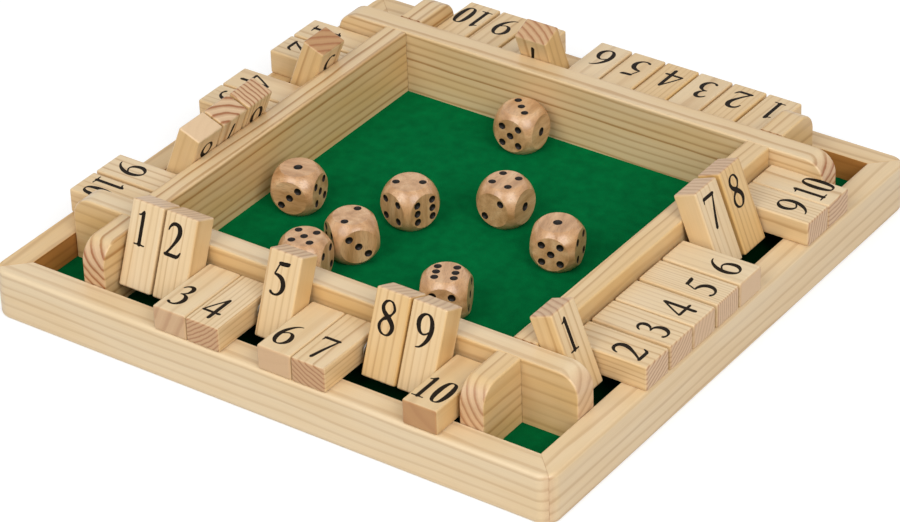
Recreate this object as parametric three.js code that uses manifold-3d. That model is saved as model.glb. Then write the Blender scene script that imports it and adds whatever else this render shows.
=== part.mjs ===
import * as THREE from "three";
import { mergeVertices } from "three/addons/utils/BufferGeometryUtils.js";
import Module from "manifold-3d";

// A shut the box game for four players. A square felt tray lies inside four boards that lap
// across each other. Outside each board a row of ten number tiles turns on a steel rod, and a
// mitred pine frame closes the outside and carries the tiles that lie flat.
// Millimetres, +Z up, origin under the middle of the frame, first player's row on the -Y side.

const wasm = await Module();
wasm.setup();

// Number tiles
const tiles_per_row = 10;
const tile_width = 18;
const tile_thickness = 12.5;
const tile_length = 41.1;
const tile_easing = 1;
const pivot_inset = 10.4;
const tile_gap = 1.25;
const row_end_gap = 1.175;
const swing_clearance = 0.25;

// Outer frame
const rail_width = 14;
const rail_height = 25.5;
const rail_corner_radius = 8;
const rail_edge_radius = 2;
const tile_setback = 0.58;

// Floor
const base_recess = 8;
const base_thickness = 4;
const groove_depth = 5;
const felt_thickness = 1;

// Boards around the tray
const board_thickness = 12.4;
const board_rise = 8;
const ear_radius = 10.5;
const board_easing = 1.8;

// Pivot rods with their spacer washers
const rod_diameter = 3;
const rod_seat = 8;
const washer_diameter = 9;
const washer_thickness = 0.4;
const washer_play = 0.25;

// Dice
const die_size = 21.7;
const die_ball_diameter = 27.8;

// Small fits
const fit_gap = 0.3;
const cut_overrun = 1;

// Which tiles stand up in each row, from the player's left
const rows_of_tiles = {
  front: "up up down down up down down up up down",
  right: "up down down down down down up up down down",
  back: "down down down down down down up down down down",
  left: "down down up down down up up up down down",
};

// How far each tile has slid along its rod, as shares of the gap between two tiles
const tile_slide_shares = {
  front: [0.24, 0.24, -0.48, -1.2, 0.08, -0.64, -1.36, 0.32, 0.08, -0.64],
  right: [-0.16, -0.28, -0.08, -0.36, 0, 0.08, 0.48, 1.28, 1.42, 0.69],
  back: [0.4, 0.4, 0.16, -0.08, -0.24, -0.32, 0, 0, 0.16, 0.32],
  left: [0.16, 0.24, -0.4, -0.16, -0.4, -0.24, -0.24, -0.4, -0.16, 0],
};

// Where the dice lie in the tray, as shares of its side. A die that lies close beside another has
// its neighbour's place and then a step away from it, as shares of a die's size.
const die_place_shares = [
  [-0.397, -0.099],
  [-0.16, -0.207],
  [-0.13, -0.011],
  [-0.102, 0.429],
  [0.06, 0.119],
  [0.271, 0.026],
  [-0.16, -0.207, -0.339, -1.204],
  [0.172, -0.292],
];
const die_turn_degrees = [12.2, -37.5, -15.2, 2.9, -0.8, 15.8, 14.9, 24.6];

// Smoothness of round faces
const hole_sides = 12;
const corner_steps = 5;
const edge_steps = 3;
const ear_steps = 6;
const ball_detail = 3;

// Sizes that follow from those above
const tile_pitch = tile_width + tile_gap;
const row_length = tiles_per_row * tile_pitch - tile_gap;
const tray_side = row_length + 2 * row_end_gap;
const tray_half = tray_side / 2;
const hinge_corner = pivot_inset - tile_easing;
const half_thickness = tile_thickness / 2;
const swing_radius = Math.hypot(hinge_corner, half_thickness - tile_easing) + tile_easing;
const pivot_to_board = swing_radius + swing_clearance;
const pivot_reach = tray_half + board_thickness + pivot_to_board;
const tile_reach = tile_length - pivot_inset;
const outer_side = 2 * (pivot_reach + tile_reach + tile_setback);
const inner_side = outer_side - 2 * rail_width;
const felt_top = base_recess + base_thickness + felt_thickness;
const pivot_height = rail_height + tile_thickness / 2;
const board_top = rail_height + tile_thickness + board_rise;
const board_height = board_top - felt_top;
const lap_height = board_height / 2;
const board_length = inner_side - 2 * fit_gap;
const rod_length = tray_side + 2 * (rod_seat - fit_gap);

// A raised tile leans back until its face meets the board's rounded top outer edge
const edge_height = board_top - board_easing - pivot_height;
const edge_reach = pivot_to_board + board_easing;
const edge_distance = Math.hypot(edge_reach, edge_height);
const edge_angle = Math.atan2(edge_height, edge_reach);
const edge_clearance = half_thickness + fit_gap + board_easing;
const lean_angle = Math.PI - edge_angle - Math.asin(edge_clearance / edge_distance);

const pine = new THREE.MeshStandardMaterial({ color: 0xdcc694, roughness: 0.45, metalness: 0 });
const beech = new THREE.MeshStandardMaterial({ color: 0xc79a66, roughness: 0.35, metalness: 0 });
const felt = new THREE.MeshStandardMaterial({ color: 0x00602f, roughness: 1, metalness: 0 });
const plywood = new THREE.MeshStandardMaterial({ color: 0xcbb083, roughness: 0.7, metalness: 0 });
const steel = new THREE.MeshStandardMaterial({ color: 0xb9bcc0, roughness: 0.3, metalness: 1 });

// A closed geometry as a solid that can be cut and joined
function solid_of(geometry) {
  const bare = geometry.clone();
  bare.deleteAttribute("normal");
  bare.deleteAttribute("uv");
  const merged = mergeVertices(bare);
  const vertProperties = new Float32Array(merged.attributes.position.array);
  const triVerts = new Uint32Array(merged.index.array);
  return new wasm.Manifold(new wasm.Mesh({ numProp: 3, vertProperties, triVerts }));
}

function geometry_of(solid) {
  const cut = solid.getMesh();
  const geometry = new THREE.BufferGeometry();
  geometry.setAttribute("position", new THREE.BufferAttribute(cut.vertProperties, 3));
  geometry.setIndex(new THREE.BufferAttribute(cut.triVerts, 1));
  return geometry;
}

function named_mesh(name, geometry, material) {
  const mesh = new THREE.Mesh(geometry, material);
  mesh.name = name;
  return mesh;
}

function block(width, depth, height, x, y, z) {
  return new THREE.BoxGeometry(width, depth, height).translate(x, y, z);
}

function square_with_round_corners(side, radius) {
  const near = side / 2 - radius;
  const shape = new THREE.Shape();
  shape.absarc(near, near, radius, 0, Math.PI / 2, false);
  shape.absarc(-near, near, radius, Math.PI / 2, Math.PI, false);
  shape.absarc(-near, -near, radius, Math.PI, 1.5 * Math.PI, false);
  shape.absarc(near, -near, radius, 1.5 * Math.PI, 2 * Math.PI, false);
  return shape;
}

// The four mitred and glued rails, with a groove that holds the base board
function outer_frame() {
  const outline = square_with_round_corners(outer_side, rail_corner_radius);
  const body = new THREE.ExtrudeGeometry(outline, {
    depth: rail_height - 2 * rail_edge_radius,
    bevelThickness: rail_edge_radius,
    bevelSize: rail_edge_radius,
    bevelOffset: -rail_edge_radius,
    bevelSegments: edge_steps,
    curveSegments: corner_steps,
  }).translate(0, 0, rail_edge_radius);
  const opening = block(inner_side, inner_side, rail_height + 2 * cut_overrun, 0, 0, rail_height / 2);
  const groove_side = inner_side + 2 * groove_depth;
  const groove = block(groove_side, groove_side, base_thickness, 0, 0, base_recess + base_thickness / 2);
  const frame = solid_of(body).subtract(solid_of(opening)).subtract(solid_of(groove));
  return named_mesh("outer_frame", geometry_of(frame), pine);
}

function base_board() {
  const side = inner_side + 2 * (groove_depth - fit_gap);
  const board = block(side, side, base_thickness, 0, 0, base_recess + base_thickness / 2);
  return named_mesh("base_board", board, plywood);
}

function felt_lining() {
  const side = inner_side - 2 * fit_gap;
  const sheet = block(side, side, felt_thickness, 0, 0, felt_top - felt_thickness / 2);
  return named_mesh("felt_lining", sheet, felt);
}

// A board on edge, with round ears at both ends. Boards that lap over are notched from below,
// and boards that lap under are notched from above. Each ear has a blind hole for a rod's end.
function tray_board(laps_over) {
  const half = board_length / 2;
  const round = half - ear_radius;
  const outline = new THREE.Shape();
  outline.moveTo(-half, -board_easing);
  outline.lineTo(half, -board_easing);
  outline.absarc(round, board_height - ear_radius, ear_radius, 0, Math.PI / 2, false);
  outline.absarc(-round, board_height - ear_radius, ear_radius, Math.PI / 2, Math.PI, false);
  const plank = new THREE.ExtrudeGeometry(outline, {
    depth: board_thickness - 2 * board_easing,
    bevelThickness: board_easing,
    bevelSize: board_easing,
    bevelOffset: -board_easing,
    bevelSegments: edge_steps,
    curveSegments: ear_steps,
  });
  plank.rotateX(Math.PI / 2).translate(0, -tray_half - board_easing, felt_top);
  const middle = -tray_half - board_thickness / 2;
  const notch_width = board_thickness + 2 * fit_gap;
  const notch_depth = board_thickness + 2 * cut_overrun;
  const notch_low = laps_over ? felt_top - cut_overrun : felt_top + lap_height;
  const notch_high = laps_over ? felt_top + lap_height + fit_gap : board_top + cut_overrun;
  const notch_height = notch_high - notch_low;
  const notch_middle = notch_low + notch_height / 2;
  const hole_length = rod_seat + cut_overrun;
  const hole_radius = rod_diameter / 2 + fit_gap;
  const spare_depth = board_thickness + 2 * cut_overrun;
  const spare_height = board_easing + cut_overrun;
  const spare_length = board_length + 2 * cut_overrun;
  const spare_middle = felt_top - spare_height / 2;
  const below = block(spare_length, spare_depth, spare_height, 0, middle, spare_middle);
  let board = solid_of(plank).subtract(solid_of(below));
  for (const end of [-1, 1]) {
    const notch = block(notch_width, notch_depth, notch_height, -end * middle, middle, notch_middle);
    const hole = new THREE.CylinderGeometry(hole_radius, hole_radius, hole_length, hole_sides);
    hole.translate(end * pivot_reach, -tray_half + cut_overrun - hole_length / 2, pivot_height);
    board = board.subtract(solid_of(notch)).subtract(solid_of(hole));
  }
  return geometry_of(board);
}

// A tile about its pivot: the hinge end reaches inward and the free end outward, along -Y
function number_tile() {
  const inner = -pivot_inset;
  const outer = tile_reach;
  const half = tile_thickness / 2;
  const outline = new THREE.Shape([
    new THREE.Vector2(inner + tile_easing, -half),
    new THREE.Vector2(outer - tile_easing, -half),
    new THREE.Vector2(outer, -half + tile_easing),
    new THREE.Vector2(outer, half - tile_easing),
    new THREE.Vector2(outer - tile_easing, half),
    new THREE.Vector2(inner + tile_easing, half),
    new THREE.Vector2(inner, half - tile_easing),
    new THREE.Vector2(inner, -half + tile_easing),
  ]);
  const core = tile_width - 2 * tile_easing;
  const body = new THREE.ExtrudeGeometry(outline, {
    depth: core,
    bevelThickness: tile_easing,
    bevelSize: tile_easing,
    bevelOffset: -tile_easing,
    bevelSegments: 1,
  }).translate(0, 0, -core / 2);
  const outward = new THREE.Vector3(0, -1, 0);
  const upward = new THREE.Vector3(0, 0, 1);
  const sideways = new THREE.Vector3(-1, 0, 0);
  body.applyMatrix4(new THREE.Matrix4().makeBasis(outward, upward, sideways));
  const hole_radius = rod_diameter / 2 + fit_gap;
  const hole_length = tile_width + 2 * cut_overrun;
  const hole = new THREE.CylinderGeometry(hole_radius, hole_radius, hole_length, hole_sides);
  hole.rotateZ(Math.PI / 2);
  return geometry_of(solid_of(body).subtract(solid_of(hole)));
}

// Middle of a tile along its row
function tile_place(side, index) {
  const slide = tile_slide_shares[side][index] * tile_gap;
  return -row_length / 2 + tile_width / 2 + index * tile_pitch + slide;
}

// A rod along X, with a spacer washer in each gap that is wide enough for one
function pivot_rod(side) {
  const rod_radius = rod_diameter / 2;
  const washer_radius = washer_diameter / 2;
  const half = rod_length / 2;
  const profile = [new THREE.Vector2(0, -half), new THREE.Vector2(rod_radius, -half)];
  for (let gap = 0; gap <= tiles_per_row; gap += 1) {
    const low = gap === 0 ? -tray_half : tile_place(side, gap - 1) + tile_width / 2;
    const high = gap === tiles_per_row ? tray_half : tile_place(side, gap) - tile_width / 2;
    if (high - low < washer_thickness + 2 * washer_play) continue;
    const start = (low + high - washer_thickness) / 2;
    const stop = start + washer_thickness;
    profile.push(new THREE.Vector2(rod_radius, start), new THREE.Vector2(washer_radius, start));
    profile.push(new THREE.Vector2(washer_radius, stop), new THREE.Vector2(rod_radius, stop));
  }
  profile.push(new THREE.Vector2(rod_radius, half), new THREE.Vector2(0, half));
  return new THREE.LatheGeometry(profile, hole_sides).rotateZ(-Math.PI / 2);
}

// A cube whose corners and edges are turned down to a ball
function die() {
  const ball = new THREE.IcosahedronGeometry(die_ball_diameter / 2, ball_detail);
  const cube = new THREE.BoxGeometry(die_size, die_size, die_size);
  return geometry_of(solid_of(ball).intersect(solid_of(cube)));
}

// One side of the game: its board, its rod and its row of tiles, drawn for the -Y side
function player_side(side, laps_over, turn, tile) {
  const group = new THREE.Group();
  group.rotation.z = turn;
  group.add(named_mesh(`${side}_board`, tray_board(laps_over), pine));
  const rod = named_mesh(`${side}_rod`, pivot_rod(side), steel);
  rod.position.set(0, -pivot_reach, pivot_height);
  group.add(rod);
  rows_of_tiles[side].split(" ").forEach((place, index) => {
    const mesh = named_mesh(`${side}_tile_${index + 1}`, tile, pine);
    mesh.position.set(tile_place(side, index), -pivot_reach, pivot_height);
    mesh.rotation.x = place === "up" ? -lean_angle : 0;
    group.add(mesh);
  });
  return group;
}

function shut_the_box_game() {
  const game = new THREE.Group();
  game.add(outer_frame(), base_board(), felt_lining());
  const tile = number_tile();
  game.add(player_side("front", true, 0, tile));
  game.add(player_side("right", false, Math.PI / 2, tile));
  game.add(player_side("back", true, Math.PI, tile));
  game.add(player_side("left", false, -Math.PI / 2, tile));
  const die_shape = die();
  die_place_shares.forEach(([x_share, y_share, x_step_share = 0, y_step_share = 0], index) => {
    const x = x_share * tray_side + x_step_share * die_size;
    const y = y_share * tray_side + y_step_share * die_size;
    const mesh = named_mesh(`die_${index + 1}`, die_shape, beech);
    mesh.position.set(x, y, felt_top + die_size / 2);
    mesh.rotation.z = THREE.MathUtils.degToRad(die_turn_degrees[index]);
    game.add(mesh);
  });
  return game;
}

const game = shut_the_box_game();

export default game;
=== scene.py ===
import math
import random

import bmesh
import bpy
from mathutils import Matrix, Vector
from mathutils.geometry import delaunay_2d_cdt


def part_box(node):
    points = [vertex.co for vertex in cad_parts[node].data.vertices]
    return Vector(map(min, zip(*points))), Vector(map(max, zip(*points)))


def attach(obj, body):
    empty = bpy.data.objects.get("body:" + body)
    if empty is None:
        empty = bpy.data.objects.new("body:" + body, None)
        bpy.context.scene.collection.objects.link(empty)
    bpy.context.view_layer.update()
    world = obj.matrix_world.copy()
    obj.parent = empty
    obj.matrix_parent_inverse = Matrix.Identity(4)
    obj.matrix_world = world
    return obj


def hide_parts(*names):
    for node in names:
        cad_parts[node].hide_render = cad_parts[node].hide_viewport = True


# A shut the box game for four players: mitred pine frame, green felt tray, forty number tiles
# on four steel rods and eight wooden dice. Sizes are in millimetres times mm, and mm is in metres.

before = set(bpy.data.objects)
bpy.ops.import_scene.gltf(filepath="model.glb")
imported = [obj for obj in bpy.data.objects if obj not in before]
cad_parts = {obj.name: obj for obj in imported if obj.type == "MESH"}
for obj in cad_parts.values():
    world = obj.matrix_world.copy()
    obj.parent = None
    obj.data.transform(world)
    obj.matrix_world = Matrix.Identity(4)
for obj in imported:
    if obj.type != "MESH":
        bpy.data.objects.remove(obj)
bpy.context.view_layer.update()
mm = 0.001
mm_per_metre = 1000

# Camera at the photograph's viewing angle. The last four values are in the photograph's pixels.
azimuth = math.radians(35.624)
elevation = math.radians(32.088)
roll = math.radians(-1.761)
aim = Vector((0, 0, 17.54 * mm))
camera_distance = 1729.9 * mm
sensor_width = 36
picture_width = 900
focal_length = 3734.8
shift_right = -7.52
shift_up = -34.453

backward = Vector(
    (
        math.sin(azimuth) * math.cos(elevation),
        -math.cos(azimuth) * math.cos(elevation),
        math.sin(elevation),
    )
)
camera = bpy.data.objects.new("camera", bpy.data.cameras.new("camera"))
facing = (-backward).to_track_quat("-Z", "Y").to_matrix().to_4x4()
stand = Matrix.Translation(aim + backward * camera_distance)
camera.matrix_world = stand @ facing @ Matrix.Rotation(roll, 4, "Z")
camera.data.sensor_width = sensor_width
camera.data.lens = focal_length / picture_width * sensor_width
camera.data.shift_x = shift_right / picture_width
camera.data.shift_y = shift_up / picture_width
camera.data.clip_end = 20
bpy.context.scene.collection.objects.link(camera)
bpy.context.scene.camera = camera
bpy.context.scene.view_settings.view_transform = "Standard"

# Sizes of the frame and the felt
rail_width = 14 * mm
rail_height = 25.5 * mm
rail_corner_radius = 8 * mm
rail_edge_radius = 2 * mm
rail_inner_easing = 0.6 * mm
mitre_gap = 0.02 * mm
mitre_easing = 0.1 * mm
outer_half = 152.496 * mm
inner_half = outer_half - rail_width
groove_low = 8 * mm
groove_high = 12 * mm
groove_depth = 5 * mm
felt_top = 13 * mm
felt_half = 138.19 * mm
felt_thickness = 1 * mm
felt_easing = 0.2 * mm

# Sizes of the boards round the tray
tray_half = 96.8 * mm
board_thickness = 12.4 * mm
board_top = 46 * mm
board_half = 138.19 * mm
lap_top = felt_top + (board_top - felt_top) / 2
lap_room = 0.2 * mm
ear_radius = 10.5 * mm
board_easing = 1.0 * mm

# Sizes of the tiles, their rods and the washers between them
tile_width = 18 * mm
tile_thickness = 12.5 * mm
tile_length = 41.04 * mm
tile_easing = 1 * mm
tile_pitch = 19.25 * mm
tile_gap = tile_pitch - tile_width
pivot_inset = 10.4 * mm
pivot_reach = 121.2167 * mm
pivot_height = 31.75 * mm
tile_reach = tile_length - pivot_inset
lean = math.radians(111.3)
row_half = (10 * tile_pitch - tile_gap) / 2
rod_radius = 1.5 * mm
rod_chamfer = 0.3 * mm
rod_half = tray_half + 7.7 * mm
hole_radius = 1.8 * mm
blind_hole_depth = 8 * mm
overrun = 1 * mm
washer_bore_radius = 1.55 * mm
washer_radius = 4.5 * mm
washer_thickness = 0.4 * mm
washer_chamfer = 0.1 * mm
washer_gap_needed = 0.9 * mm

# Sizes of the numbers and the dice
numeral_height = 16.1 * mm
ink_thickness = 0.05 * mm
ink_sunk = 0.03 * mm
rail_lowered = 0.05 * mm
top_number_reach = 17.2 * mm
under_number_reach = 18.3 * mm
die_size = 21.7 * mm
die_ball_radius = 13.9 * mm
spot_pitch = 4.43 * mm
spot_radius = 1.85 * mm
single_spot_radius = 2.2 * mm
drill_lift = 1.3 * mm

sides = {"front": 0, "right": 90, "back": 180, "left": -90}
raised_tiles = {"front": (1, 2, 5, 8, 9), "right": (1, 7, 8), "back": (7,), "left": (3, 6, 7, 8)}
# How far each tile has slid along its rod, in millimetres
tile_slides = {
    "front": (0.3, 0.3, -0.6, -1.5, 0.1, -0.8, -1.7, 0.4, 0.1, -0.8),
    "right": (-0.2, -0.35, -0.1, -0.45, 0, 0.1, 0.6, 1.6, 1.775, 0.8625),
    "back": (0.5, 0.5, 0.2, -0.1, -0.3, -0.4, 0, 0, 0.2, 0.4),
    "left": (0.2, 0.3, -0.5, -0.2, -0.5, -0.3, -0.3, -0.5, -0.2, 0),
}


def linear(hex_colour):
    """Turn an sRGB hex value into the linear colour that a socket takes."""
    colour = []
    for start in (1, 3, 5):
        channel = int(hex_colour[start : start + 2], 16) / 255
        colour.append(channel / 12.92 if channel <= 0.04045 else ((channel + 0.055) / 1.055) ** 2.4)
    return (*colour, 1.0)


def add_node(tree, kind, links=None, stops=None, **settings):
    """Add a shader node. A link is a plain value, an output, or a node for its first output."""
    made = tree.nodes.new("ShaderNode" + kind)
    for name, value in settings.items():
        setattr(made, name, value)
    for socket, value in (links or {}).items():
        if isinstance(value, bpy.types.Node):
            value = value.outputs[0]
        if isinstance(value, bpy.types.NodeSocket):
            tree.links.new(value, made.inputs[socket])
        else:
            made.inputs[socket].default_value = value
    if stops:
        elements = made.color_ramp.elements
        while len(elements) < len(stops):
            elements.new(0.5)
        for element, (place, colour) in zip(elements, stops):
            element.position = place
            element.color = colour
    return made


def grey(value):
    return (value, value, value, 1.0)


def empty_material(name):
    made = bpy.data.materials.new(name)
    made.use_nodes = True
    made.node_tree.nodes.clear()
    return made


def make_pine_growth():
    """Pine as it grows, in millimetres about the heart of the tree, X along the grain.

    Soft early wood turns slowly into a brown late wood line and starts afresh behind it. Cut
    across the grain it is darker and pinker, because the open fibres drink the varnish.
    """
    tree = bpy.data.node_groups.new("pine_growth", "ShaderNodeTree")
    tree.interface.new_socket("Position", in_out="INPUT", socket_type="NodeSocketVector")
    for name in ("End grain", "Ring width", "Contrast", "Honey", "End tone"):
        tree.interface.new_socket(name, in_out="INPUT", socket_type="NodeSocketFloat")
    tree.interface.new_socket("Colour", in_out="OUTPUT", socket_type="NodeSocketColor")
    tree.interface.new_socket("Height", in_out="OUTPUT", socket_type="NodeSocketFloat")
    given = tree.nodes.new("NodeGroupInput")
    place = given.outputs["Position"]
    contrast = given.outputs["Contrast"]

    # Growth wanders a few millimetres over a hand's length and wavers a little within a finger's
    # width. Fibres 0.4 mm apart are drawn as long streaks, and the tint changes over a few centimetres.
    noises = []
    for stretch, scale, detail in (
        ((0.011, 0.06, 0.06), 1, 2),
        ((0.05, 0.7, 0.7), 1, 2),
        ((0.035, 2.4, 2.4), 1, 3),
        ((0.012, 0.07, 0.07), 1.3, 1),
    ):
        stretched = add_node(tree, "VectorMath", {0: place, 1: stretch}, operation="MULTIPLY")
        noises.append(add_node(tree, "TexNoise", {"Vector": stretched, "Scale": scale, "Detail": detail}))
    wander, waver, fibre, tint = noises
    wander_mm = add_node(tree, "Math", {0: wander, 1: 3.8, 2: -1.9}, operation="MULTIPLY_ADD")
    waver_mm = add_node(tree, "Math", {0: waver, 1: 0.5, 2: -0.25}, operation="MULTIPLY_ADD")
    across = add_node(tree, "VectorMath", {0: place, 1: (0, 1, 1)}, operation="MULTIPLY")
    radius = add_node(tree, "VectorMath", {0: across}, operation="LENGTH")
    wandering = add_node(tree, "Math", {0: radius.outputs["Value"], 1: wander_mm}, operation="ADD")
    wavering = add_node(tree, "Math", {0: wandering, 1: waver_mm}, operation="ADD")
    years = add_node(tree, "Math", {0: wavering, 1: given.outputs["Ring width"]}, operation="DIVIDE")
    year = add_node(tree, "Math", {0: years}, operation="FLOOR")
    season = add_node(tree, "Math", {0: years}, operation="FRACT")
    darkening = [(0, 0.5), (0.08, 0.03), (0.48, 0), (0.7, 0.15), (0.87, 1), (1, 0.85)]
    shades = [(when, grey(dark)) for when, dark in darkening]
    late_wood = add_node(tree, "ValToRGB", {0: season}, stops=shades)
    harvest = add_node(tree, "TexWhiteNoise", {"W": year}, noise_dimensions="1D")
    vigour = add_node(tree, "Math", {0: harvest, 1: 0.7, 2: 0.3}, operation="MULTIPLY_ADD")
    ring = add_node(tree, "Math", {0: late_wood, 1: vigour}, operation="MULTIPLY")
    ring_mix = add_node(tree, "Math", {0: ring, 1: contrast}, operation="MULTIPLY")

    # Planed along the grain
    tint_range = add_node(tree, "MapRange", {"Value": tint, "From Min": 0.35, "From Max": 0.65})
    honey = add_node(
        tree, "Math", {0: tint_range, 1: 0.22, 2: given.outputs["Honey"]}, operation="MULTIPLY_ADD"
    )
    early = add_node(
        tree,
        "Mix",
        {0: honey, 6: linear("#DEC7A2"), 7: linear("#D3AA69")},
        data_type="RGBA",
        clamp_factor=True,
    )
    face = add_node(tree, "Mix", {0: ring_mix, 6: early.outputs[2], 7: linear("#9E6A2A")}, data_type="RGBA")

    # Sawn across the grain
    end_mix = add_node(tree, "Math", {0: late_wood, 1: 0.45}, operation="POWER")
    end_contrast = add_node(
        tree, "Math", {0: contrast, 1: 1.8, 2: -0.35}, operation="MULTIPLY_ADD", use_clamp=True
    )
    end_ring = add_node(tree, "Math", {0: end_mix, 1: end_contrast}, operation="MULTIPLY")
    end_early = add_node(
        tree,
        "Mix",
        {0: given.outputs["End tone"], 6: linear("#DDBF99"), 7: linear("#B2824E")},
        data_type="RGBA",
    )
    end_face = add_node(
        tree, "Mix", {0: end_ring, 6: end_early.outputs[2], 7: linear("#95592A")}, data_type="RGBA"
    )
    surface = add_node(
        tree,
        "Mix",
        {0: given.outputs["End grain"], 6: face.outputs[2], 7: end_face.outputs[2]},
        data_type="RGBA",
    )
    streak = add_node(tree, "Math", {0: fibre, 1: 0.16, 2: 0.92}, operation="MULTIPLY_ADD")
    colour = add_node(tree, "VectorMath", {0: surface.outputs[2], "Scale": streak}, operation="SCALE")

    # Relief in millimetres: fibres stand about 0.01 mm, and late wood 0.02 mm above early wood
    fibre_relief = add_node(tree, "Math", {0: fibre, 1: 0.014}, operation="MULTIPLY")
    relief = add_node(tree, "Math", {0: ring, 1: 0.02, 2: fibre_relief}, operation="MULTIPLY_ADD")
    result = tree.nodes.new("NodeGroupOutput")
    tree.links.new(colour.outputs[0], result.inputs["Colour"])
    tree.links.new(relief.outputs[0], result.inputs["Height"])
    return tree


pine_growth = make_pine_growth()


def satin_varnished_pine(name, place, grain, upward, growth_lines, side_browning_and_shade=0, inner_shade=0):
    """Planed pine under a thin satin varnish: pale, softly glossy, with its growth lines.

    place is a point in the piece and grain runs along its fibres. growth_lines are their slope
    across the piece in degrees, their spacing in millimetres, their strength, how honey-brown the
    wood is, how brown its end grain is, and how far away the heart of the tree would be. The sawn
    sides may be browner, in part as the wood is and in part as painted shade, and the side that
    faces the middle of the game may be darkened and browned as painted shade, since it lies in
    shadow.
    """
    slope, ring_width, contrast, honey, end_tone, distance = growth_lines
    made = empty_material(name)
    tree = made.node_tree
    side = upward.cross(grain).normalized()
    turn = Matrix((grain, side, upward))
    heart = Vector((0, -math.sin(math.radians(slope)), math.cos(math.radians(slope)))) * distance
    start = turn @ (place * mm_per_metre) + heart
    where = add_node(tree, "TexCoord")
    facing = where.outputs["Normal"]
    board = add_node(
        tree,
        "Mapping",
        {
            "Vector": where.outputs["Object"],
            "Location": -start,
            "Rotation": turn.to_euler("XYZ"),
            "Scale": (mm_per_metre, mm_per_metre, mm_per_metre),
        },
    )
    along = add_node(tree, "VectorMath", {0: facing, 1: grain}, operation="DOT_PRODUCT")
    either_end = add_node(tree, "Math", {0: along.outputs["Value"]}, operation="ABSOLUTE")
    end_grain = add_node(tree, "MapRange", {"Value": either_end, "From Min": 0.35, "From Max": 0.8})
    aside = add_node(tree, "VectorMath", {0: facing, 1: side}, operation="DOT_PRODUCT")
    # Partly the wood's own colour and partly painted shade: the sides are made more honey-brown
    if side_browning_and_shade:
        either_side = add_node(tree, "Math", {0: aside.outputs["Value"]}, operation="ABSOLUTE")
        honey = add_node(tree, "Math", {0: either_side, 1: side_browning_and_shade, 2: honey}, operation="MULTIPLY_ADD")
    growth = add_node(
        tree,
        "Group",
        {
            "Position": board,
            "End grain": end_grain,
            "Ring width": ring_width,
            "Contrast": contrast,
            "Honey": honey,
            "End tone": end_tone,
        },
        node_tree=pine_growth,
    )
    colour = growth.outputs["Colour"]
    # Painted shade: the face towards the middle of the game is darkened and browned, since it lies in
    # shadow
    if inner_shade:
        inward = add_node(
            tree,
            "MapRange",
            {"Value": aside.outputs["Value"], "From Min": 0.4, "From Max": 0.9, "To Max": inner_shade},
        )
        inward_shade = add_node(
            tree,
            "Mix",
            {0: inward, 6: colour, 7: linear("#DBB793")},
            data_type="RGBA",
            blend_type="MULTIPLY",
        )
        colour = inward_shade.outputs[2]
    relief = add_node(tree, "Bump", {"Height": growth.outputs["Height"], "Distance": mm, "Strength": 0.6})
    varnish = add_node(
        tree,
        "BsdfPrincipled",
        {
            "Base Color": colour,
            "Roughness": 0.42,
            "IOR": 1.5,
            "Coat Weight": 0.15,
            "Coat Roughness": 0.28,
            "Normal": relief,
        },
    )
    add_node(tree, "OutputMaterial", {"Surface": varnish})
    return made


def sawn_plywood():
    """Thin birch plywood, sawn and left bare: dull, with fine long fibres and pale patches."""
    made = empty_material("sawn_birch_plywood")
    tree = made.node_tree
    where = add_node(tree, "TexCoord")
    # Fibres 25 mm long and 0.7 mm wide, in patches 33 mm across
    sheet = add_node(tree, "Mapping", {"Vector": where.outputs["Object"], "Scale": (40, 1400, 600)})
    fibre = add_node(tree, "TexNoise", {"Vector": sheet, "Scale": 1, "Detail": 4})
    cloud = add_node(tree, "TexNoise", {"Vector": where.outputs["Object"], "Scale": 30, "Detail": 2})
    veneer = add_node(
        tree, "ValToRGB", {0: fibre}, stops=[(0.3, linear("#B99A6C")), (0.7, linear("#DCC59B"))]
    )
    patch = add_node(tree, "Mix", {0: cloud, 6: veneer, 7: linear("#CDB084")}, data_type="RGBA")
    relief = add_node(tree, "Bump", {"Height": fibre, "Distance": 0.05 * mm, "Strength": 0.5})
    bare = add_node(
        tree,
        "BsdfPrincipled",
        {"Base Color": patch.outputs[2], "Roughness": 0.72, "IOR": 1.45, "Normal": relief},
    )
    add_node(tree, "OutputMaterial", {"Surface": bare})
    return made


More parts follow.
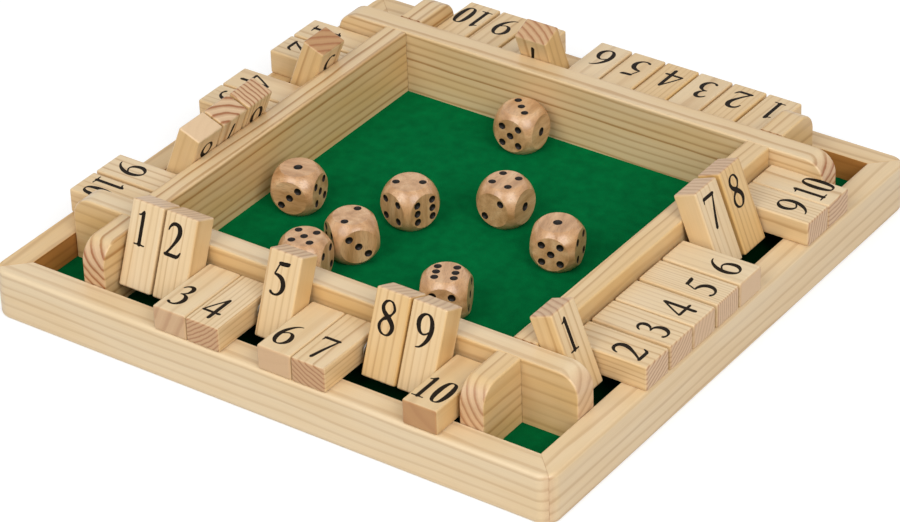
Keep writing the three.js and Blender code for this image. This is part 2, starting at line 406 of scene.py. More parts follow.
def pressed_wool_felt():
    """Dyed wool felt, pressed: deep matt green with a short matted pile and no weave."""
    made = empty_material("pressed_wool_felt")
    tree = made.node_tree
    where = add_node(tree, "TexCoord")
    # Hairs 0.25 mm wide would be too fine to show, so the pile is drawn 0.5 mm coarse
    pile = add_node(
        tree, "TexNoise", {"Vector": where.outputs["Object"], "Scale": 2000, "Detail": 3, "Roughness": 0.7}
    )
    matting = add_node(tree, "TexNoise", {"Vector": where.outputs["Object"], "Scale": 160, "Detail": 3})
    both = add_node(tree, "Math", {0: matting, 1: 0.6, 2: 0.2}, operation="MULTIPLY_ADD")
    shade = add_node(tree, "Mix", {0: 0.5, 2: pile, 3: both})
    dye = add_node(
        tree, "ValToRGB", {0: shade}, stops=[(0.36, linear("#00522A")), (0.64, linear("#00733B"))]
    )
    # Painted shade: the pile is darkened outside the tray, most of all in the narrow troughs
    place = add_node(tree, "VectorMath", {0: where.outputs["Object"]}, operation="ABSOLUTE")
    spread = add_node(tree, "SeparateXYZ", {0: place})
    far = add_node(tree, "Math", {0: spread, 1: spread.outputs[1]}, operation="MAXIMUM")
    near = add_node(tree, "Math", {0: spread, 1: spread.outputs[1]}, operation="MINIMUM")
    outside = add_node(tree, "MapRange", {"Value": far, "From Min": 100 * mm, "From Max": 106 * mm})
    between = add_node(tree, "MapRange", {"Value": near, "From Min": 108 * mm, "From Max": 100 * mm})
    depth = add_node(tree, "Math", {0: between, 1: -0.6, 2: -0.25}, operation="MULTIPLY_ADD")
    painted_trough_shade = add_node(tree, "Math", {0: outside, 1: depth, 2: 1}, operation="MULTIPLY_ADD")
    dye_with_painted_shade = add_node(tree, "VectorMath", {0: dye, "Scale": painted_trough_shade}, operation="SCALE")
    relief = add_node(tree, "Bump", {"Height": pile, "Distance": 0.25 * mm, "Strength": 0.5})
    cloth = add_node(
        tree,
        "BsdfPrincipled",
        {
            "Base Color": dye_with_painted_shade,
            "Roughness": 0.95,
            "Specular IOR Level": 0.03,
            "Sheen Weight": 0.04,
            "Sheen Roughness": 0.6,
            "Sheen Tint": linear("#009048"),
            "Normal": relief,
        },
    )
    add_node(tree, "OutputMaterial", {"Surface": cloth})
    return made


def lacquered_beech(name, place, turn):
    """Turned beech under clear gloss lacquer: pinkish brown with short darker flecks."""
    made = empty_material(name)
    tree = made.node_tree
    where = add_node(tree, "TexCoord")
    start = turn @ (place * mm_per_metre)
    # Each die comes from another place in the plank
    plank_place = Vector((place.x * 7 * mm_per_metre, 9, 31))
    block = add_node(
        tree,
        "Mapping",
        {
            "Vector": where.outputs["Object"],
            "Location": -start + plank_place,
            "Rotation": turn.to_euler("XYZ"),
            "Scale": (mm_per_metre, mm_per_metre, mm_per_metre),
        },
    )
    # Flecks 3 mm long and 0.4 mm wide, and clouds 5 mm across
    noises = []
    for stretch, detail in (((0.35, 2.6, 2.6), 2), ((0.05, 0.22, 0.22), 3)):
        stretched = add_node(tree, "VectorMath", {0: block, 1: stretch}, operation="MULTIPLY")
        noises.append(add_node(tree, "TexNoise", {"Vector": stretched, "Scale": 1, "Detail": detail}))
    fleck, cloud = noises
    tone = add_node(
        tree,
        "ValToRGB",
        {0: cloud},
        stops=[(0.3, linear("#AB7D4E")), (0.52, linear("#C7996B")), (0.75, linear("#DAB488"))],
    )
    fleck_range = add_node(tree, "MapRange", {"Value": fleck, "From Min": 0.52, "From Max": 0.75})
    fleck_share = add_node(tree, "Math", {0: fleck_range, 1: 0.5}, operation="MULTIPLY")
    wood = add_node(tree, "Mix", {0: fleck_share, 6: tone, 7: linear("#75492A")}, data_type="RGBA")
    relief = add_node(tree, "Bump", {"Height": fleck, "Distance": 0.02 * mm, "Strength": 0.4})
    lacquer = add_node(
        tree,
        "BsdfPrincipled",
        {
            "Base Color": wood.outputs[2],
            "Roughness": 0.36,
            "IOR": 1.5,
            "Coat Weight": 0.4,
            "Coat Roughness": 0.16,
            "Normal": relief,
        },
    )
    add_node(tree, "OutputMaterial", {"Surface": lacquer})
    return made


def drawn_steel_wire():
    """Bright drawn steel: grey metal, softly glossy, with faint cloudy wear 1 mm across."""
    made = empty_material("drawn_steel_wire")
    tree = made.node_tree
    where = add_node(tree, "TexCoord")
    wear = add_node(tree, "TexNoise", {"Vector": where.outputs["Object"], "Scale": 900, "Detail": 3})
    tone = add_node(
        tree, "ValToRGB", {0: wear}, stops=[(0.3, linear("#8F9296")), (0.7, linear("#C3C6C9"))]
    )
    relief = add_node(tree, "Bump", {"Height": wear, "Distance": 0.01 * mm, "Strength": 0.3})
    metal = add_node(
        tree,
        "BsdfPrincipled",
        {"Base Color": tone, "Metallic": 1, "Roughness": 0.32, "Normal": relief},
    )
    add_node(tree, "OutputMaterial", {"Surface": metal})
    return made


def black_film(name, specks_per_metre, darkest, palest, gloss):
    """A thin black film of ink or paint, a little uneven, with the gloss that it dries to."""
    made = empty_material(name)
    tree = made.node_tree
    where = add_node(tree, "TexCoord")
    cover = add_node(
        tree, "TexNoise", {"Vector": where.outputs["Object"], "Scale": specks_per_metre, "Detail": 2}
    )
    tone = add_node(
        tree, "ValToRGB", {0: cover}, stops=[(0.35, linear(darkest)), (0.75, linear(palest))]
    )
    film = add_node(tree, "BsdfPrincipled", {"Base Color": tone, **gloss})
    add_node(tree, "OutputMaterial", {"Surface": film})
    return made


def loose_object(name, shape, finishes):
    """Turn a bmesh into an object that isn't linked yet."""
    mesh = bpy.data.meshes.new(name)
    shape.to_mesh(mesh)
    shape.free()
    for finish in finishes:
        mesh.materials.append(finish)
    return bpy.data.objects.new(name, mesh)


def add_piece(made, body, nodes=()):
    """Put a piece in the scene on the body that carries it."""
    bpy.context.scene.collection.objects.link(made)
    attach(made, body)
    if nodes:
        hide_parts(*nodes)
    return made


def combine(shape, tool_shape, finishes, operation):
    """Cut one closed bmesh with another. The cut faces take the last finish."""
    blank = loose_object("blank", shape, finishes)
    tool = loose_object("tool", tool_shape, finishes[-1:])
    for made in (blank, tool):
        bpy.context.scene.collection.objects.link(made)
    cut = blank.modifiers.new("cut", "BOOLEAN")
    cut.operation = operation
    cut.solver = "EXACT"
    cut.object = tool
    cut.material_mode = "TRANSFER"
    bpy.context.view_layer.update()
    result = bpy.data.meshes.new_from_object(blank.evaluated_get(bpy.context.evaluated_depsgraph_get()))
    for made in (blank, tool):
        spare = made.data
        bpy.data.objects.remove(made)
        bpy.data.meshes.remove(spare)
    cut_shape = bmesh.new()
    cut_shape.from_mesh(result)
    bpy.data.meshes.remove(result)
    return cut_shape


def make_block(low, high):
    shape = bmesh.new()
    bmesh.ops.create_cube(shape, size=1)
    size = Vector(high) - Vector(low)
    bmesh.ops.scale(shape, vec=size, verts=shape.verts)
    bmesh.ops.translate(shape, vec=(Vector(high) + Vector(low)) / 2, verts=shape.verts)
    return shape


def make_bar(radius, length, sides_round, axis, middle):
    """A plain round bar that drills a hole."""
    shape = bmesh.new()
    bmesh.ops.create_cone(
        shape, cap_ends=True, segments=sides_round, radius1=radius, radius2=radius, depth=length
    )
    turn = Vector((0, 0, 1)).rotation_difference(Vector(axis)).to_matrix()
    bmesh.ops.rotate(shape, matrix=turn, verts=shape.verts)
    bmesh.ops.translate(shape, vec=middle, verts=shape.verts)
    return shape


def round_edges(shape, edges, width, segments, **limits):
    bmesh.ops.bevel(
        shape,
        geom=edges,
        offset=width,
        segments=segments,
        profile=0.5,
        affect="EDGES",
        material=-1,
        **limits,
    )


def ease_edges(shape, width, segments, smallest_angle=50):
    """Round every edge that turns by more than an angle in degrees."""
    edges = [edge for edge in shape.edges if edge.calc_face_angle(0) > math.radians(smallest_angle)]
    round_edges(shape, edges, width, segments, clamp_overlap=True)


def slice_off(shape, point, outward):
    """Cut away what lies past a plane, and close the cut."""
    whole = shape.verts[:] + shape.edges[:] + shape.faces[:]
    cut = bmesh.ops.bisect_plane(shape, geom=whole, plane_co=point, plane_no=outward, clear_outer=True)
    bmesh.ops.edgenet_fill(shape, edges=[e for e in cut["geom_cut"] if isinstance(e, bmesh.types.BMEdge)])


def spin_round(shape, outline, steps):
    """Turn an outline once round the X axis."""
    bmesh.ops.spin(
        shape,
        geom=outline,
        cent=(0, 0, 0),
        axis=(1, 0, 0),
        angle=2 * math.pi,
        steps=steps,
        use_merge=True,
    )


def shade_softly(made):
    """Round edges look round and flat faces stay flat."""
    made.data.shade_smooth()
    made.data.set_sharp_from_angle(angle=math.radians(36))
    flatten = made.modifiers.new("flat_faces", "WEIGHTED_NORMAL")
    flatten.keep_sharp = True
    flatten.weight = 80
    return made


def make_rail():
    """The rail on the -Y side, rounded outside, grooved for the floor and cut to its mitres."""
    hair = 0.01 * mm
    # The top is a little low, so that it clears the ink under the tiles
    rail_top = rail_height - rail_lowered
    rail = make_block((-outer_half, -outer_half, 0), (outer_half, outer_half, rail_top))
    uprights = [e for e in rail.edges if abs(e.verts[0].co.z - e.verts[1].co.z) > rail_height / 2]
    round_edges(rail, uprights, rail_corner_radius, 10)
    ease_edges(rail, rail_edge_radius, 4, 80)
    slice_off(rail, (0, -inner_half, 0), (0, 1, 0))
    arris = [
        edge
        for edge in rail.edges
        if all(abs(v.co.y + inner_half) < hair and v.co.z > rail_top - hair for v in edge.verts)
    ]
    round_edges(rail, arris, rail_inner_easing, 3)
    for height in (groove_low, groove_high):
        inner = [
            face
            for face in rail.faces
            if face.normal.y > 0.9 or face.calc_center_median().y > -inner_half - mm
        ]
        around = {edge for face in inner for edge in face.edges} | {v for face in inner for v in face.verts}
        bmesh.ops.bisect_plane(rail, geom=inner + list(around), plane_co=(0, 0, height), plane_no=(0, 0, 1))
    rail.normal_update()
    middle = (groove_low + groove_high) / 2
    groove = []
    for face in rail.faces:
        centre = face.calc_center_median()
        if abs(centre.y + inner_half) < hair and abs(centre.z - middle) < mm:
            groove.append(face)
    sunk = bmesh.ops.extrude_face_region(rail, geom=groove)
    moved = [v for v in sunk["geom"] if isinstance(v, bmesh.types.BMVert)]
    bmesh.ops.delete(rail, geom=groove, context="FACES_ONLY")
    bmesh.ops.translate(rail, vec=(0, -groove_depth, 0), verts=moved)
    for slope in (1, -1):
        slice_off(rail, (0, -mitre_gap, 0), (slope, 1, 0))
    bmesh.ops.recalc_face_normals(rail, faces=rail.faces)
    mitred = [face for face in rail.faces if abs(face.normal.x) > 0.6 and face.normal.y > 0.6]
    round_edges(rail, list({edge for face in mitred for edge in face.edges}), mitre_easing, 1)
    bmesh.ops.triangulate(rail, faces=[face for face in rail.faces if len(face.verts) > 4])
    return rail


def make_tray_board(laps_over):
    """The board on the -Y side, on edge, with round ears, a half lap and two blind rod holes."""
    # The board starts lower, and its rounded foot is cut off at the felt
    foot = 4 * mm
    board = make_block(
        (-board_half, -tray_half - board_thickness, felt_top - foot), (board_half, -tray_half, board_top)
    )
    ears = [
        edge
        for edge in board.edges
        if edge.calc_length() < board_thickness + mm and all(v.co.z > board_top - mm for v in edge.verts)
    ]
    round_edges(board, ears, ear_radius, 14)
    ease_edges(board, board_easing, 5)
    slice_off(board, (0, 0, felt_top), (0, 0, -1))
    bmesh.ops.recalc_face_normals(board, faces=board.faces)
    middle = tray_half + board_thickness / 2
    notch = board_thickness / 2 + lap_room
    low, high = (felt_top - overrun, lap_top) if laps_over else (lap_top, board_top + overrun)
    hole_length = blind_hole_depth + overrun
    hole_middle = -tray_half - (blind_hole_depth - overrun) / 2
    for end in (-1, 1):
        lap = make_block(
            (end * middle - notch, -tray_half - board_thickness - overrun, low),
            (end * middle + notch, overrun - tray_half, high),
        )
        board = combine(board, lap, [None], "DIFFERENCE")
        hole_place = (end * pivot_reach, hole_middle, pivot_height)
        hole = make_bar(hole_radius, hole_length, 24, (0, 1, 0), hole_place)
        board = combine(board, hole, [None], "DIFFERENCE")
    return board


def make_tile():
    """A number tile about its pivot, with its free end along -Y and a cross hole for the rod."""
    half = tile_width / 2
    tile = make_block((-half, -tile_reach, -tile_thickness / 2), (half, pivot_inset, tile_thickness / 2))
    ease_edges(tile, tile_easing, 4)
    hole = make_bar(hole_radius, tile_width + 2 * overrun, 24, (1, 0, 0), (0, 0, 0))
    return combine(tile, hole, [None], "DIFFERENCE")


def make_rod():
    """A pivot rod along X, with a small chamfer at each end."""
    rod = bmesh.new()
    profile = [(-rod_half, 0), (-rod_half, rod_radius - rod_chamfer), (-rod_half + rod_chamfer, rod_radius)]
    profile += [(-x, radius) for x, radius in reversed(profile)]
    line = [rod.verts.new((x, radius, 0)) for x, radius in profile]
    for a, b in zip(line, line[1:]):
        rod.edges.new((a, b))
    spin_round(rod, rod.verts[:] + rod.edges[:], 24)
    bmesh.ops.remove_doubles(rod, verts=rod.verts, dist=0.001 * mm)
    bmesh.ops.recalc_face_normals(rod, faces=rod.faces)
    return rod


def make_washers(middles):
    """The washers of a row along X: one in each gap beside a tile that has room for it."""
    washers = bmesh.new()
    walls = [-tray_half] + [x + step * tile_width for x in middles for step in (-0.5, 0.5)] + [tray_half]
    for wall, next_wall in zip(walls[::2], walls[1::2]):
        if next_wall - wall < washer_gap_needed:
            continue
        low = (wall + next_wall - washer_thickness) / 2
        high = low + washer_thickness
        outline = [
            (low, washer_bore_radius),
            (low, washer_radius - washer_chamfer),
            (low + washer_chamfer, washer_radius),
            (high - washer_chamfer, washer_radius),
            (high, washer_radius - washer_chamfer),
            (high, washer_bore_radius),
        ]
        line = [washers.verts.new((x, radius, 0)) for x, radius in outline]
        loop = [washers.edges.new((a, b)) for a, b in zip(line, line[1:] + line[:1])]
        spin_round(washers, line + loop, 32)
    bmesh.ops.recalc_face_normals(washers, faces=washers.faces)
    return washers


# Numerals, drawn as pen strokes: across, up from the foot and pen width, in hundredths of their
# height. A closed stroke ends where it starts.
numeral_strokes = {
    "0": [(True, [(22, 98, 4), (33, 91, 9), (38, 70, 13), (39, 50, 14), (38, 30, 13), (33, 9, 9),
                  (22, 2, 4), (11, 9, 9), (6, 30, 13), (5, 50, 14), (6, 70, 13), (11, 91, 9)])],
    "1": [(False, [(19.5, 2, 12), (19.5, 12, 10.5), (19.5, 50, 10.5), (19.5, 88, 10.5), (20, 97, 9)]),
          (False, [(4, 87, 3), (12, 89, 5), (18, 94, 8), (22, 98.5, 3)]),
          (False, [(2, 1.8, 3.6), (19, 1.8, 3.6), (37, 1.8, 3.6)]),
          (False, [(10, 2, 2), (19.5, 5, 6), (29, 2, 2)])],
    "2": [(False, [(2, 74, 3.5), (6, 85, 6), (15, 93.5, 8.5), (26, 95, 10), (37, 89, 13), (41, 75, 14),
                   (38, 60, 12), (29, 42, 8.5), (17, 23, 6.5), (5, 7, 5.5)]),
          (False, [(1.5, 4.8, 9), (20, 4.8, 9.6), (42, 4.8, 9.6)]),
          (False, [(41, 5, 9), (47, 9, 7), (53, 20, 3)])],
    "3": [(False, [(3, 82, 3.5), (8, 90, 5.5), (18, 95.5, 8), (29, 93, 11), (34, 82, 12), (31, 68, 8),
                   (23, 59, 4.5), (14, 54, 3.5)]),
          (False, [(15, 54, 3.5), (27, 54, 6), (38, 45, 11), (42, 30, 13), (38, 15, 11), (28, 5, 7),
                   (17, 3, 5.5), (9, 6, 7), (5.5, 9.5, 8.5)])],
    "4": [(False, [(38.5, 0.5, 10.5), (38.5, 50, 10.5), (38.5, 98, 10)]),
          (False, [(37, 97, 5.5), (18, 64, 5), (2, 33, 5)]),
          (False, [(0.5, 28.5, 8), (28, 28.5, 8), (56, 28.5, 8)])],
    "5": [(False, [(22, 92, 10), (36, 92.5, 10.5), (48, 94.5, 10.5), (54, 98, 5)]),
          (False, [(24, 95, 4), (17, 78, 4), (10, 60, 4)]),
          (False, [(10, 59, 4), (22, 58, 9), (36, 50, 13), (43, 35, 14), (41, 19, 11), (32, 7, 7),
                   (20, 2.5, 5), (11, 4, 6.5), (5, 8, 8.5)])],
    "6": [(False, [(48, 98.5, 2.4), (36, 95, 4.5), (23, 83, 8), (12, 64, 11.5), (7, 42, 13),
                   (9, 22, 12), (17, 7, 8), (28, 2.3, 4.4), (40, 7, 8), (49, 20, 12), (50, 36, 12.5),
                   (44, 52, 9.5), (33, 59, 5), (22, 56, 4.2), (11, 47, 3.6)])],
    "7": [(False, [(3, 95, 9.5), (25, 95, 9.5), (50, 95, 9.5)]),
          (False, [(5, 96, 4), (3, 91, 5), (0.8, 82, 2.6)]),
          (False, [(49, 97, 4.5), (42, 74, 6.5), (32, 40, 8.5), (22.5, 0.5, 10.5)])],
    "8": [(True, [(27, 53, 11), (38, 62, 5), (45, 77, 7.5), (38, 93, 6), (27, 98, 3.8), (15, 93, 7),
                  (8, 79, 9.5), (13, 65, 11), (27, 53, 13), (41, 40, 13), (47, 25, 12), (40, 8, 8),
                  (27, 2, 3.8), (12, 8, 7), (5, 24, 9), (11, 40, 6.5)])],
}
# The nine is the six turned upside down
numeral_strokes["9"] = [
    (closed, [(53.5 - x, 100 - y, width) for x, y, width in stroke])
    for closed, stroke in numeral_strokes["6"]
]
numeral_widths = {"0": 44, "1": 37, "2": 54, "3": 49, "4": 56, "5": 55, "6": 55, "7": 52, "8": 52, "9": 55}
numeral_gap = 13
# Ink spreads a little past the sides of the pen, and less at a stroke's round ends
ink_swell = 1.08
ink_spread = 0.8
stroke_end_divisor = 2.05


def swept_stroke(closed, stroke, steps=7):
    """Points along a smooth curve through a stroke's points, as (place, width)."""
    count = len(stroke)
    path = []
    for index in range(count if closed else count - 1):
        if closed:
            nearby = [stroke[(index + k) % count] for k in (-1, 0, 1, 2)]
        else:
            nearby = [stroke[min(max(index + k, 0), count - 1)] for k in (-1, 0, 1, 2)]
        a, b, c, d = (Vector(point) for point in nearby)
        for step in range(steps):
            t = step / steps
            place = b + (c - a) * t / 2
            place += (2 * a - 5 * b + 4 * c - d) * t * t / 2
            place += (3 * b - a - 3 * c + d) * t**3 / 2
            path.append(place)
    path.append(Vector(stroke[0] if closed else stroke[-1]))
    return path


def stroke_patches(closed, stroke):
    """The inked strip of one stroke, as four-cornered patches from point to point."""
    path = swept_stroke(closed, stroke)
    edges = []
    for index, point in enumerate(path):
        before = path[max(index - 1, 0)]
        after = path[min(index + 1, len(path) - 1)]
        if closed and index in (0, len(path) - 1):
            before, after = path[-2], path[1]
        along = (after - before).xy.normalized()
        reach = Vector((-along.y, along.x)) * (point.z * ink_swell + ink_spread) / 2
        edges.append((point.xy + reach, point.xy - reach))
    patches = []
    for (a, b), (c, d) in zip(edges, edges[1:]):
        patches.append([a, b, d, c])
    if not closed:
        for point in (path[0], path[-1]):
            spoke = Vector((point.z / stroke_end_divisor, 0))
            patches.append([point.xy + Matrix.Rotation(k * math.pi / 4, 2) @ spoke for k in range(8)])
    return patches


def make_numeral(text):
    """A printed number as a thin plate about its middle, upright along Y and facing +Z."""
    total = sum(numeral_widths[digit] for digit in text) + numeral_gap * (len(text) - 1)
    pen = -total / 2
    corners = []
    patches = []
    for digit in text:
        for closed, stroke in numeral_strokes[digit]:
            for patch in stroke_patches(closed, stroke):
                patches.append(list(range(len(corners), len(corners) + len(patch))))
                corners += [Vector((point.x + pen, point.y)) for point in patch]
        pen += numeral_widths[digit] + numeral_gap
    # One outline for all strokes that lie over each other
    points, _, faces, _, _, sources = delaunay_2d_cdt(corners, [], patches, 0, 0.02)
    ink = bmesh.new()
    scale = numeral_height / 100
    verts = [ink.verts.new((point.x * scale, (point.y - 50) * scale, 0)) for point in points]
    for face, source in zip(faces, sources):
        if source:
            ink.faces.new([verts[k] for k in face])
    bmesh.ops.delete(ink, geom=[v for v in ink.verts if not v.link_faces], context="VERTS")
    bmesh.ops.dissolve_limit(ink, angle_limit=math.radians(1), verts=ink.verts, edges=ink.edges)
    ink.normal_update()
    for face in ink.faces:
        if face.normal.z < 0:
            face.normal_flip()
    film = bmesh.ops.extrude_face_region(ink, geom=ink.faces[:])
    raised = [v for v in film["geom"] if isinstance(v, bmesh.types.BMVert)]
    bmesh.ops.translate(ink, vec=(0, 0, ink_thickness), verts=raised)
    bmesh.ops.translate(ink, vec=(0, 0, -ink_sunk), verts=ink.verts)
    bmesh.ops.recalc_face_normals(ink, faces=ink.faces)
    return ink


# How far each number is printed from the middle of its tile, in millimetres
print_offsets = {
    "front": (-1.6, -1.8, -2.2, -2.0, -0.9, -2.3, -1.3, -0.9, 0.1, -0.4),
    "right": (-1.9, -1.55, -1.6, -0.75, -0.9, -0.6, -1.0, -0.9, 0.8, 0.4),
    "back": (-0.5, -0.2, -0.9, -0.8, -0.3, -0.4, 0.1, 0.7, -0.1, -0.3),
    "left": (-1.6, -0.8, 0.1, -1.2, -1.0, -0.3, 0, 0, -0.1, 0.2),
}

# Growth lines of the tiles: their slope across the end in degrees, their spacing in millimetres,
# their strength, how honey-brown the wood is, and how brown its end is
tile_growth = {
    ("front", 1): (75, 3.2, 0.45, 0.1, 0.1), ("front", 2): (80, 3.0, 0.45, 0.2, 0.15),
    ("front", 3): (62, 6.5, 0.4, 0.0, 0.5), ("front", 4): (41, 1.9, 0.65, 0.05, 0.6),
    ("front", 5): (85, 3.4, 0.55, 0.25, 0.1), ("front", 6): (10, 5.0, 0.22, 0.1, 0.5),
    ("front", 7): (-30, 2.3, 0.65, 0.1, 0.65), ("front", 8): (80, 3.6, 0.45, 0.55, 0.15),
    ("front", 9): (100, 3.2, 0.45, 0.25, 0.1), ("front", 10): (-40, 9.0, 0.36, 0.3, 1.0),
    ("right", 1): (60, 3.4, 0.55, 0.3, 0.3), ("right", 2): (31, 2.2, 0.6, 0.1, 0.3),
    ("right", 3): (39, 2.2, 0.55, 0.0, 0.35), ("right", 4): (65, 2.6, 0.4, 0.0, 0.4),
    ("right", 5): (90, 1.7, 0.55, 0.0, 0.3), ("right", 6): (50, 3.5, 0.2, 0.0, 0.4),
    ("right", 7): (85, 3.2, 0.45, 0.1, 0.3), ("right", 8): (80, 3.0, 0.5, 0.65, 0.4),
    ("right", 9): (75, 2.1, 0.6, 0.0, 0.35), ("right", 10): (8, 2.4, 0.6, 0.0, 0.4),
    ("back", 2): (70, 3.0, 0.4, 0.35, 0.3), ("back", 4): (75, 2.6, 0.5, 0.55, 0.3),
    ("back", 7): (-28, 3.2, 0.65, 0.35, 0.5), ("left", 3): (-30, 4.6, 0.65, 0.3, 0.85),
    ("left", 6): (-92, 2.5, 1.0, 0.3, 0.25), ("left", 7): (-35, 5.4, 0.75, 0.2, 0.15),
    ("left", 8): (20, 4.0, 0.22, 0.15, 0.1),
}


def make_die():
    """A cube turned down to a ball at its corners, with drilled spots. One is on +Z."""
    cube = die_size / 2
    ball = bmesh.new()
    bmesh.ops.create_icosphere(ball, subdivisions=5, radius=die_ball_radius)
    die = combine(ball, make_block((-cube, -cube, -cube), (cube, cube, cube)), [None], "INTERSECT")
    spots = {
        1: [(0, 0)],
        2: [(1, 1), (-1, -1)],
        3: [(1, 1), (0, 0), (-1, -1)],
        4: [(1, 1), (-1, -1), (1, -1), (-1, 1)],
        5: [(1, 1), (-1, -1), (1, -1), (-1, 1), (0, 0)],
        6: [(1, 1), (-1, -1), (1, -1), (-1, 1), (1, 0), (-1, 0)],
    }
    across = {1: "xyz", 6: "yxz", 3: "xzy", 4: "xzy", 5: "yzx", 2: "yzx"}
    outward_sign = {1: 1, 6: -1, 3: -1, 4: 1, 5: 1, 2: -1}
    drills = bmesh.new()
    for number, places in spots.items():
        for first, second in places:
            middle = Vector()
            setattr(middle, across[number][0], first * spot_pitch)
            setattr(middle, across[number][1], second * spot_pitch)
            setattr(middle, across[number][2], outward_sign[number] * (cube + drill_lift))
            width = single_spot_radius if number == 1 else spot_radius
            bmesh.ops.create_uvsphere(
                drills, u_segments=24, v_segments=14, radius=math.hypot(width, drill_lift),
                matrix=Matrix.Translation(middle),
            )
    return combine(die, drills, [None, black_paint], "DIFFERENCE")


face_normals = {1: (0, 0, 1), 6: (0, 0, -1), 3: (0, -1, 0), 4: (0, 1, 0), 5: (1, 0, 0), 2: (-1, 0, 0)}
# Each die's turn, and the numbers on its top and on its left face as the player in front sees it
dice = [
    (12.2, 1, 3), (-37.5, 2, 6), (-15.2, 2, 4), (2.9, 3, 5),
    (-0.8, 4, 2), (15.8, 1, 5), (14.9, 5, 6), (24.6, 6, 5),
]

steel_wire = drawn_steel_wire()
# Pad-printed ink is thin and dull, and browner where the wood shows through
ink_gloss = {"Roughness": 0.6, "IOR": 1.45, "Specular IOR Level": 0.12}
ink_film = black_film("pad_printed_ink", 1500, "#120C06", "#23190F", ink_gloss)
# Paint dropped into the drilled spots of the dice dries slightly glossy
paint_gloss = {"Roughness": 0.45, "IOR": 1.5, "Specular IOR Level": 0.2}
black_paint = black_film("dropped_black_paint", 1200, "#0E0A08", "#231A14", paint_gloss)
felt_cloth = pressed_wool_felt()
plywood = sawn_plywood()

# Floor of the box
base = bpy.data.objects["base_board"]
base.data.materials.clear()
base.data.materials.append(plywood)

felt = make_block((-felt_half, -felt_half, felt_top - felt_thickness), (felt_half, felt_half, felt_top))
ease_edges(felt, felt_easing, 2)
felt_sheet = shade_softly(loose_object("felt_sheet", felt, [felt_cloth]))
felt_piece = add_piece(felt_sheet, "game_frame", ["felt_lining"])

# Growth lines of rails and boards: as the tiles' ones, then the heart's distance in millimetres
grain_of_side = {"front": (1, 0, 0), "right": (0, 1, 0), "back": (-1, 0, 0), "left": (0, -1, 0)}
rail_growth = {
    "front": (28, 4.8, 0.38, 0.0, 0.3, 55),
    "right": (-34, 4.6, 0.42, 0.12, 0.3, 60),
    "back": (30, 4.8, 0.5, 0.3, 0.5, 60),
    "left": (-25, 4.6, 0.5, 0.5, 0.5, 55),
}
board_growth = {
    "front": (30, 5.0, 0.42, 0.0, 0.25, 60),
    "right": (53, 3.8, 0.6, 0.4, 0.3, 60),
    "back": (-22, 4.1, 0.95, 0.12, 0.3, 110),
    "left": (-40, 3.8, 1.0, 0.25, 0.35, 110),
}
# Painted shade on the rails' inner faces, which lie in shadow
rail_inner_shade = 0.95
# How much browner the sides are: in part the wood, in part painted shade, most of all on the shaded inner
# faces of the back and left rails
tile_side_browning_and_shade = 0.3
rail_side_browning_and_shade = {"front": 0, "right": 0, "back": 0.9, "left": 1.0}
board_side_browning_and_shade = {"front": 0.6, "right": 0.2, "back": 0.2, "left": 0.3}
tile_master = make_tile()
chance = random.Random(11)
drawn_growth_spans = ((-80, 80), (2.4, 4.5), (0.3, 0.55), (0, 0.3), (0.2, 0.5))
upward = Vector((0, 0, 1))

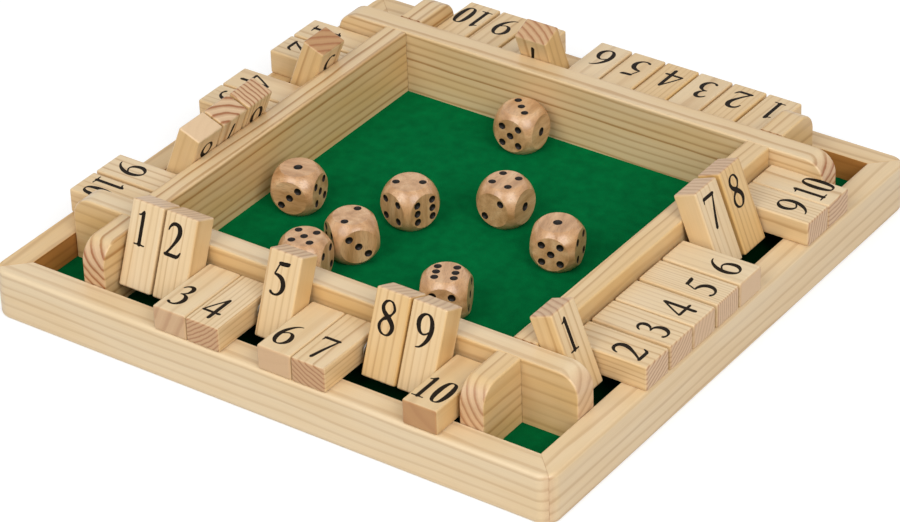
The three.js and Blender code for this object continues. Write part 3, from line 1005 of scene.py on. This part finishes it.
for side, turn_degrees in sides.items():
    turn = Matrix.Rotation(math.radians(turn_degrees), 4, "Z")
    grain = Vector(grain_of_side[side])
    place = turn @ Vector((0, -outer_half + rail_width / 2, rail_height / 2))
    rail_pine = satin_varnished_pine(
        f"{side}_rail_pine",
        place,
        grain,
        upward,
        rail_growth[side],
        rail_side_browning_and_shade[side],
        rail_inner_shade,
    )
    rail = make_rail()
    bmesh.ops.transform(rail, matrix=turn, verts=rail.verts)
    made = shade_softly(loose_object(f"{side}_rail", rail, [rail_pine]))
    add_piece(made, "game_frame", ["outer_frame"])

    place = turn @ Vector((0, -tray_half - board_thickness / 2, (felt_top + board_top) / 2))
    board_pine = satin_varnished_pine(
        f"{side}_board_pine", place, grain, upward, board_growth[side], board_side_browning_and_shade[side]
    )
    board = make_tray_board(side in ("front", "back"))
    bmesh.ops.transform(board, matrix=turn, verts=board.verts)
    made = shade_softly(loose_object(f"{side}_board_wood", board, [board_pine]))
    add_piece(made, "game_frame", [f"{side}_board"])

    pivot = turn @ Matrix.Translation((0, -pivot_reach, pivot_height))
    rod = make_rod()
    bmesh.ops.transform(rod, matrix=pivot, verts=rod.verts)
    made = shade_softly(loose_object(f"{side}_pivot_wire", rod, [steel_wire]))
    add_piece(made, "game_frame", [f"{side}_rod"])

    middles = [-row_half + tile_width / 2 + k * tile_pitch + tile_slides[side][k] * mm for k in range(10)]
    washers = make_washers(middles)
    bmesh.ops.transform(washers, matrix=pivot, verts=washers.verts)
    made = shade_softly(loose_object(f"{side}_washers", washers, [steel_wire]))
    add_piece(made, "game_frame", [f"{side}_rod"])

    for number in range(1, 11):
        seat = turn @ Matrix.Translation((middles[number - 1], -pivot_reach, pivot_height))
        if number in raised_tiles[side]:
            seat = seat @ Matrix.Rotation(-lean, 4, "X")
        drawn = [chance.uniform(*span) for span in drawn_growth_spans]
        # The heart of the tree runs close by where the rings of the end are tightly curved
        far = 24 if (side, number) == ("left", 7) else chance.uniform(45, 80)
        growth_lines = (*tile_growth.get((side, number), drawn), far)
        tile_grain = (seat.to_3x3() @ Vector((0, -1, 0))).normalized()
        tile_upward = (seat.to_3x3() @ upward).normalized()
        tile_pine = satin_varnished_pine(
            f"{side}_tile_{number}_pine",
            seat @ Vector(),
            tile_grain,
            tile_upward,
            growth_lines,
            tile_side_browning_and_shade,
        )
        body = f"{side}_tile_{number}"
        tile = tile_master.copy()
        bmesh.ops.transform(tile, matrix=seat, verts=tile.verts)
        add_piece(shade_softly(loose_object(f"{body}_wood", tile, [tile_pine])), body, [body])

        # The number is printed on both faces
        offset = print_offsets[side][number - 1] * mm
        top = Matrix.Translation((offset, -top_number_reach, tile_thickness / 2))
        under = Matrix.Translation((offset, -under_number_reach, -tile_thickness / 2))
        under = under @ Matrix.Rotation(math.pi, 4, "X")
        numbers = bmesh.new()
        for face in (top, under):
            ink = make_numeral(str(number))
            bmesh.ops.transform(ink, matrix=seat @ face, verts=ink.verts)
            spare = bpy.data.meshes.new("spare")
            ink.to_mesh(spare)
            ink.free()
            numbers.from_mesh(spare)
            bpy.data.meshes.remove(spare)
        add_piece(loose_object(f"{body}_print", numbers, [ink_film]), body)

# Dice
die_master = make_die()
for index, (turn_degrees, top, left) in enumerate(dice, start=1):
    low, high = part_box(f"die_{index}")
    middle = (Vector(low) + Vector(high)) / 2
    turn = Matrix.Rotation(math.radians(turn_degrees), 3, "Z")
    top_axis = Vector(face_normals[top])
    left_axis = Vector(face_normals[left])
    own_axes = Matrix((top_axis.cross(left_axis), left_axis, top_axis))
    seen_axes = Matrix((turn @ Vector((1, 0, 0)), turn @ Vector((0, -1, 0)), upward)).transposed()
    pose = Matrix.Translation(middle) @ (seen_axes @ own_axes).to_4x4()
    grain_turn = (seen_axes @ own_axes).transposed()
    beech = lacquered_beech(f"die_{index}_beech", middle, grain_turn)
    die = die_master.copy()
    bmesh.ops.transform(die, matrix=pose, verts=die.verts)
    made = loose_object(f"die_{index}_wood", die, [beech, black_paint])
    made.data.shade_smooth()
    made.data.set_sharp_from_angle(angle=math.radians(25))
    add_piece(made, f"die_{index}", [f"die_{index}"])


def seen_directly(tree):
    """1 for camera, gloss and transmission rays, and 0 for rays that carry light."""
    rays = add_node(tree, "LightPath")
    camera_or_gloss = add_node(
        tree,
        "Math",
        {0: rays.outputs["Is Camera Ray"], 1: rays.outputs["Is Glossy Ray"]},
        operation="MAXIMUM",
    )
    return add_node(
        tree,
        "Math",
        {0: camera_or_gloss, 1: rays.outputs["Is Transmission Ray"]},
        operation="MAXIMUM",
    )


# Pale studio floor, 3 m each way. It shows white to the camera and to gloss, and keeps part of the shadow.
floor_half = 3
floor_lift = 0.55
floor_finish = empty_material("matt_white_backdrop")
floor_tree = floor_finish.node_tree
grain_of_paper = add_node(floor_tree, "TexNoise", {"Scale": 60, "Detail": 2})
paper = add_node(
    floor_tree, "ValToRGB", {0: grain_of_paper}, stops=[(0.3, grey(0.55)), (0.7, grey(0.57))]
)
matt = add_node(floor_tree, "BsdfDiffuse", {"Color": paper})
lift_strength = add_node(
    floor_tree, "Math", {0: seen_directly(floor_tree), 1: floor_lift}, operation="MULTIPLY"
)
lift = add_node(floor_tree, "Emission", {"Color": grey(1), "Strength": lift_strength})
both = add_node(floor_tree, "AddShader", {0: matt, 1: lift})
add_node(floor_tree, "OutputMaterial", {"Surface": both})
floor_shape = bmesh.new()
bmesh.ops.create_grid(floor_shape, x_segments=1, y_segments=1, size=floor_half)
floor = loose_object("studio_floor", floor_shape, [floor_finish])
bpy.context.scene.collection.objects.link(floor)

# Soft studio light. Lamps have their place and width in metres, and their power in watts.
ambient_light = 0.43
softbox_width = 1.8
world = bpy.data.worlds.new("studio")
bpy.context.scene.world = world
world.use_nodes = True
world.node_tree.nodes.clear()
sky = add_node(world.node_tree, "Mix", {0: seen_directly(world.node_tree), 2: ambient_light, 3: 1})
glow = add_node(world.node_tree, "Background", {"Color": grey(1), "Strength": sky})
add_node(world.node_tree, "OutputWorld", {"Surface": glow})


def add_softbox(name, place, power):
    """A square white lamp aimed at the game."""
    lamp = bpy.data.lights.new(name, "AREA")
    lamp.shape = "SQUARE"
    lamp.size = softbox_width
    lamp.energy = power
    made = bpy.data.objects.new(name, lamp)
    made.location = place
    made.rotation_euler = (aim - Vector(place)).to_track_quat("-Z", "Y").to_euler()
    bpy.context.scene.collection.objects.link(made)


add_softbox("key_softbox", (-0.3, -2.3, 2.1), 42)
add_softbox("side_softbox", (2.1, -1.2, 1.9), 52)
